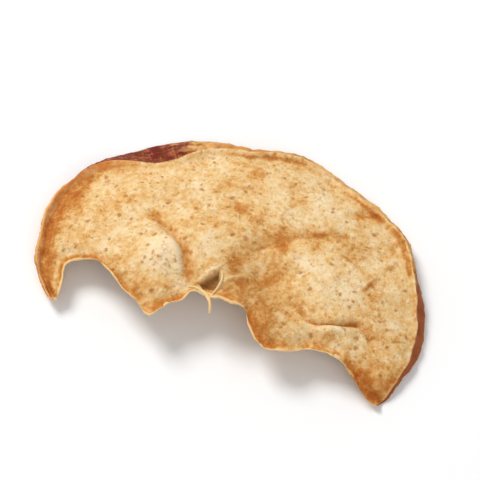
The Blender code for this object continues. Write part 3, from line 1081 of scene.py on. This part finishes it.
class Finish:
    """Short calls that build one material's node tree."""

    def __init__(self, name):
        self.material = bpy.data.materials.new(name)
        self.material.use_nodes = True
        self.tree = self.material.node_tree
        self.shader = self.tree.nodes["Principled BSDF"]

    def node(self, kind, inputs, **settings):
        """New node with its settings, fed by sockets or by plain values."""
        node = self.tree.nodes.new(kind)
        for key, value in settings.items():
            setattr(node, key, value)
        for key, value in inputs.items():
            self.feed(node.inputs[key], value)
        return node

    def feed(self, socket, value):
        if isinstance(value, bpy.types.NodeSocket):
            self.tree.links.new(value, socket)
        else:
            socket.default_value = value

    def fact(self, name):
        """One of the FACTS that the mesh carries."""
        return self.node("ShaderNodeAttribute", {}, attribute_name=name).outputs["Fac"]

    def place(self):
        """Position on the object in millimetres."""
        return self.scaled(self.node("ShaderNodeTexCoord", {}).outputs["Object"], 1 / MM)

    def vectors(self, operation, first, second):
        node = self.node("ShaderNodeVectorMath", {0: first, 1: second}, operation=operation)
        return node.outputs["Vector"]

    def scaled(self, vector, factor):
        node = self.node("ShaderNodeVectorMath", {0: vector, "Scale": factor}, operation="SCALE")
        return node.outputs["Vector"]

    def shifted(self, place, distance):
        """The place moved along, for a pattern that doesn't repeat another's."""
        return self.vectors("ADD", place, (distance,) * 3)

    def noise(self, place, size, detail, roughness):
        inputs = {"Vector": place, "Scale": 1 / size, "Detail": detail, "Roughness": roughness}
        return self.node("ShaderNodeTexNoise", inputs).outputs["Fac"]

    def numbers(self, operation, first, second):
        return self.node("ShaderNodeMath", {0: first, 1: second}, operation=operation).outputs["Value"]

    def plus(self, first, second):
        return self.numbers("ADD", first, second)

    def times(self, first, second):
        return self.numbers("MULTIPLY", first, second)

    def sway(self, pattern, amount):
        """A pattern from 0 to 1 as a sway of an amount about 0."""
        return self.times(self.numbers("SUBTRACT", pattern, 0.5), amount)

    def fade(self, value, start, end, low=0.0, high=1.0):
        """Goes smoothly from low to high as the value goes from start to end."""
        inputs = {"Value": value, "From Min": start, "From Max": end, "To Min": low, "To Max": high}
        return self.node("ShaderNodeMapRange", inputs, interpolation_type="SMOOTHSTEP").outputs["Result"]

    def mix(self, share, under, over):
        """One colour over another, by the Mix node's colour sockets, which share their names."""
        inputs = {"Factor": share, MIX_UNDER: under, MIX_OVER: over}
        return self.node("ShaderNodeMix", inputs, data_type="RGBA").outputs[MIX_RESULT]

    def ramp(self, value, stops):
        """Colour read between (place from 0 to 1, colour) stops."""
        node = self.node("ShaderNodeValToRGB", {"Fac": value})
        while len(node.color_ramp.elements) < len(stops):
            node.color_ramp.elements.new(1.0)
        for element, (position, colour) in zip(node.color_ramp.elements, stops):
            element.position = position
            element.color = colour
        return node.outputs["Color"]

    def specks(self, place, spacing, smallest, largest, soft, strength):
        """Round specks of uneven size in the place's X and Y, one in each cell of the spacing."""
        inputs = {"Vector": place, "Scale": 1 / spacing}
        cell = self.node("ShaderNodeTexVoronoi", inputs, voronoi_dimensions="2D")
        chance = self.node("ShaderNodeSeparateColor", {"Color": cell.outputs["Color"]}).outputs["Red"]
        radius = self.fade(chance, SMALLEST_SHARE, 1.0, smallest / spacing, largest / spacing)
        edge = self.numbers("SUBTRACT", radius, cell.outputs["Distance"])
        return self.times(self.fade(edge, 0.0, soft / spacing), strength)


def flesh_colour(finish, place):
    """Cream to browned flesh, with brown dust and specks, dark crease lines that are partly painted shade,
    painted highlights along the lips and cut edge, and olive that is partly painted shade.
    """
    mottle = finish.noise(place, *MOTTLE)
    flecks = finish.noise(finish.shifted(place, FLECK_SHIFT), *FLECKS)
    uneven = finish.noise(finish.shifted(place, UNEVEN_SHIFT), *UNEVENNESS)
    brown = finish.times(finish.fact("brown"), finish.fade(uneven, *BROWN_PATCHINESS))
    tone = finish.plus(finish.sway(mottle, MOTTLE_SWAY), TONE_MIDDLE)
    tone = finish.plus(tone, finish.sway(flecks, FLECK_SWAY))
    tone = finish.plus(tone, finish.times(brown, BROWN_RISE))
    # Paler patches and folds, partly painted highlight
    tone = finish.numbers("SUBTRACT", tone, finish.times(finish.fact("pale"), PALE_FALL))
    colour = finish.ramp(finish.times(tone, TONE_SCALE), FLESH_TONES)

    clusters = finish.noise(finish.shifted(place, CLUSTER_SHIFT), *CLUSTERS)
    crowd = finish.plus(finish.fade(clusters, *CROWDED_DUST), finish.times(brown, BROWN_DUST))
    grain = finish.noise(place, *GRAIN)
    colour = finish.mix(finish.fade(finish.plus(grain, crowd), *DUST), colour, DUST_BROWN)

    inputs = {"Vector": place, "Scale": WOBBLE_PER_MM, "Detail": WOBBLE_DETAIL}
    wobble = finish.node("ShaderNodeTexNoise", inputs).outputs["Color"]
    pulled = finish.vectors("ADD", place, finish.scaled(wobble, WOBBLE_REACH))
    small = finish.specks(pulled, *SMALL_SPECKS)
    large = finish.specks(finish.shifted(pulled, LARGE_SPECK_SHIFT), *LARGE_SPECKS)
    specks = finish.numbers("MAXIMUM", small, large)
    colour = finish.mix(specks, colour, SPECK_BROWN)

    # Strokes, dark spots and crease lines, the last partly painted shade
    line = finish.times(finish.fact("line"), finish.fade(uneven, *LINE_PATCHINESS))
    colour = finish.mix(finish.fade(line, 0.0, 1.0), colour, LINE_BROWN)
    russet = finish.times(finish.fact("russet"), finish.fade(uneven, *RUSSET_PATCHINESS))
    colour = finish.mix(russet, colour, RUSSET)
    # Painted highlights: gold along the rim's lip, cream along the cut edge; the core walls take that cream
    # as their own pale colour
    for fact, highlight_colour in (("gold", RIM_HIGHLIGHT_GOLD), ("edge_highlight_and_wall_pale", HIGHLIGHT_AND_WALL_CREAM)):
        lit = finish.plus(finish.fact(fact), finish.times(flecks, LIP_FLECKS))
        colour = finish.mix(finish.fade(lit, *LIP_FADE), colour, highlight_colour)
    # Olive in the seed pocket and round the core, partly painted shade
    return finish.mix(finish.times(finish.fact("olive"), OLIVE_STRENGTH), colour, OLIVE), specks


def skin_colour(finish, place):
    """Dried skin: gold and cream, with red at the back, rust on the right, apricot on the left, and painted
    shade in its pleat valleys.
    """
    patches = finish.noise(place, *SKIN_PATCHES)
    along = finish.times(finish.fact("angle"), SKIN_MM_PER_DEGREE)
    up = finish.node("ShaderNodeSeparateXYZ", {"Vector": place}).outputs["Z"]
    unrolled = finish.node("ShaderNodeCombineXYZ", {"X": along, "Y": up}).outputs["Vector"]
    angle = finish.plus(finish.fact("angle"), finish.sway(patches, ANGLE_SWAY))
    streaks = finish.noise(finish.vectors("MULTIPLY", unrolled, STREAK_STRETCH), *SKIN_STREAKS)
    outward = finish.plus(finish.fact("band"), finish.sway(streaks, STREAK_SWAY))

    gold = finish.mix(finish.fade(outward, *CREAM_BAND), SKIN_GOLD, SKIN_CREAM)
    gold = finish.mix(finish.fade(angle, *RIGHT_CREAM), gold, SKIN_CREAM)
    gold = finish.mix(finish.fade(angle, *BACK_CREAM), gold, SKIN_CREAM)
    colour = finish.mix(finish.fade(patches, *TAN_PATCHINESS), gold, SKIN_TAN)
    colour = finish.mix(finish.fade(angle, *RIGHT_RUST), colour, SKIN_RUST)
    colour = finish.mix(finish.fade(angle, *LEFT_APRICOT), colour, SKIN_APRICOT)

    rosy = finish.plus(finish.times(streaks, STREAK_SHARE), finish.noise(place, *BLUSH_PATCHES))
    red = finish.mix(finish.fade(rosy, *ROSE_FADE), SKIN_RED, SKIN_ROSE)
    blush = finish.times(finish.fade(angle, *BLUSH_START), finish.fade(angle, *BLUSH_END))
    colour = finish.mix(blush, colour, red)
    # Painted shade in the valleys between the pleats
    pleat_shading = finish.times(finish.fact("pleat_shade"), finish.fade(patches, *PLEAT_SHADE_PATCHINESS))
    colour = finish.mix(pleat_shading, colour, PLEAT_SHADE_BROWN)
    colour = finish.mix(finish.specks(unrolled, *SKIN_FRECKLES), colour, SKIN_TAN)
    dots = finish.specks(finish.shifted(unrolled, DOT_SHIFT), *SKIN_DOTS)
    return finish.mix(dots, colour, SKIN_CREAM)


def apple_material():
    """Matt flesh that light sinks into a little, and smoother skin, both finely pitted."""
    finish = Finish("dried_apple")
    place = finish.place()
    flesh, specks = flesh_colour(finish, place)
    skin = finish.fact("skin")
    roughness = finish.plus(finish.times(skin, SKIN_ROUGHNESS_FALL), FLESH_ROUGHNESS)

    inputs = {"Vector": place, "Scale": PORES_PER_MM}
    pores = finish.node("ShaderNodeTexVoronoi", inputs).outputs["Distance"]
    pitted = finish.plus(finish.noise(place, *FINE_GRAIN), finish.times(pores, PORE_DEPTH))
    height = finish.numbers("SUBTRACT", pitted, finish.times(specks, SPECK_DEPTH))
    bump = {"Strength": BUMP_STRENGTH, "Distance": BUMP_DISTANCE, "Height": height}

    looks = {
        "Base Color": finish.mix(skin, flesh, skin_colour(finish, place)),
        "Roughness": roughness,
        "Specular IOR Level": SPECULAR,
        "Subsurface Weight": SUBSURFACE_WEIGHT,
        "Subsurface Radius": SUBSURFACE_RADIUS,
        "Subsurface Scale": SUBSURFACE_SCALE,
        "Normal": finish.node("ShaderNodeBump", bump).outputs["Normal"],
    }
    for name, value in looks.items():
        finish.feed(finish.shader.inputs[name], value)
    return finish.material


def build_chip():
    """The chip as one piece, flesh, skin and core walls together."""
    flesh = chip_sections()
    upper = flesh[0][:, :UPPER_POINTS]
    mesh = loft("chip", [flesh] + [core_wall(*wall_path, upper) for wall_path in CORE_WALLS])
    set_down(mesh)
    mesh.materials.append(apple_material())
    chip = bpy.data.objects.new("chip", mesh)
    bpy.context.scene.collection.objects.link(chip)
    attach(chip, "root")
    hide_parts("apple_chip")


def build_floor():
    """White surface that the chip lies on."""
    bpy.ops.mesh.primitive_plane_add(size=FLOOR_SIZE)
    floor = bpy.context.object
    floor.name = "floor"
    material = bpy.data.materials.new("floor_white")
    material.use_nodes = True
    shader = material.node_tree.nodes["Principled BSDF"]
    shader.inputs["Base Color"].default_value = FLOOR_WHITE
    shader.inputs["Roughness"].default_value = FLOOR_ROUGHNESS
    floor.data.materials.append(material)


def direction(azimuth, elevation):
    """Unit vector from the object towards a camera or lamp at that azimuth and elevation."""
    a, e = math.radians(azimuth), math.radians(elevation)
    return Vector((math.sin(a) * math.cos(e), -math.cos(a) * math.cos(e), math.sin(e)))


def aim(thing, spot):
    """Turns a camera or lamp to look at a spot."""
    thing.rotation_euler = (spot - thing.location).to_track_quat("-Z", "Y").to_euler()


def add_lamp(name, azimuth, elevation, distance, size, power):
    """Round lamp that shines on the middle of the floor."""
    data = bpy.data.lights.new(name, "AREA")
    data.shape = "DISK"
    data.size = size
    data.energy = power
    lamp = bpy.data.objects.new(name, data)
    lamp.location = direction(azimuth, elevation) * distance
    aim(lamp, Vector((0.0, 0.0, 0.0)))
    bpy.context.scene.collection.objects.link(lamp)


def light_scene():
    """The lamps, and a soft white sky."""
    for lamp in LAMPS:
        add_lamp(*lamp)
    world = bpy.data.worlds.new("world")
    world.use_nodes = True
    background = world.node_tree.nodes["Background"]
    background.inputs["Color"].default_value = SKY_WHITE
    background.inputs["Strength"].default_value = SKY_STRENGTH
    bpy.context.scene.world = world
    bpy.context.scene.view_settings.view_transform = "Standard"


def place_camera(low, high):
    """Camera at the photo's angle, so far off that the box takes its share of the frame's width."""
    middle = (Vector(low) + Vector(high)) / 2
    data = bpy.data.cameras.new("camera")
    data.lens = CAMERA_LENS
    data.sensor_width = SENSOR
    data.clip_start = CLIP_START
    frame_width = (high[0] - low[0]) / CHIP_SHARE_OF_FRAME
    distance = frame_width * CAMERA_LENS / SENSOR
    camera = bpy.data.objects.new("camera", data)
    camera.location = middle + direction(CAMERA_AZIMUTH, CAMERA_ELEVATION) * distance
    aim(camera, middle)
    bpy.context.scene.collection.objects.link(camera)
    bpy.context.scene.camera = camera


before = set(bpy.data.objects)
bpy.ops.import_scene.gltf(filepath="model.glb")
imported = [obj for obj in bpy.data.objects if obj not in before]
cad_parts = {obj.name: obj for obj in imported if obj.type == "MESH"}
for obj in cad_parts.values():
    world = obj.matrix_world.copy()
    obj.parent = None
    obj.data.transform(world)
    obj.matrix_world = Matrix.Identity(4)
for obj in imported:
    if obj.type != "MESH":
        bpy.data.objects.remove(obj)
cad_low, cad_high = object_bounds()
build_floor()
light_scene()
place_camera(cad_low, cad_high)
build_chip()
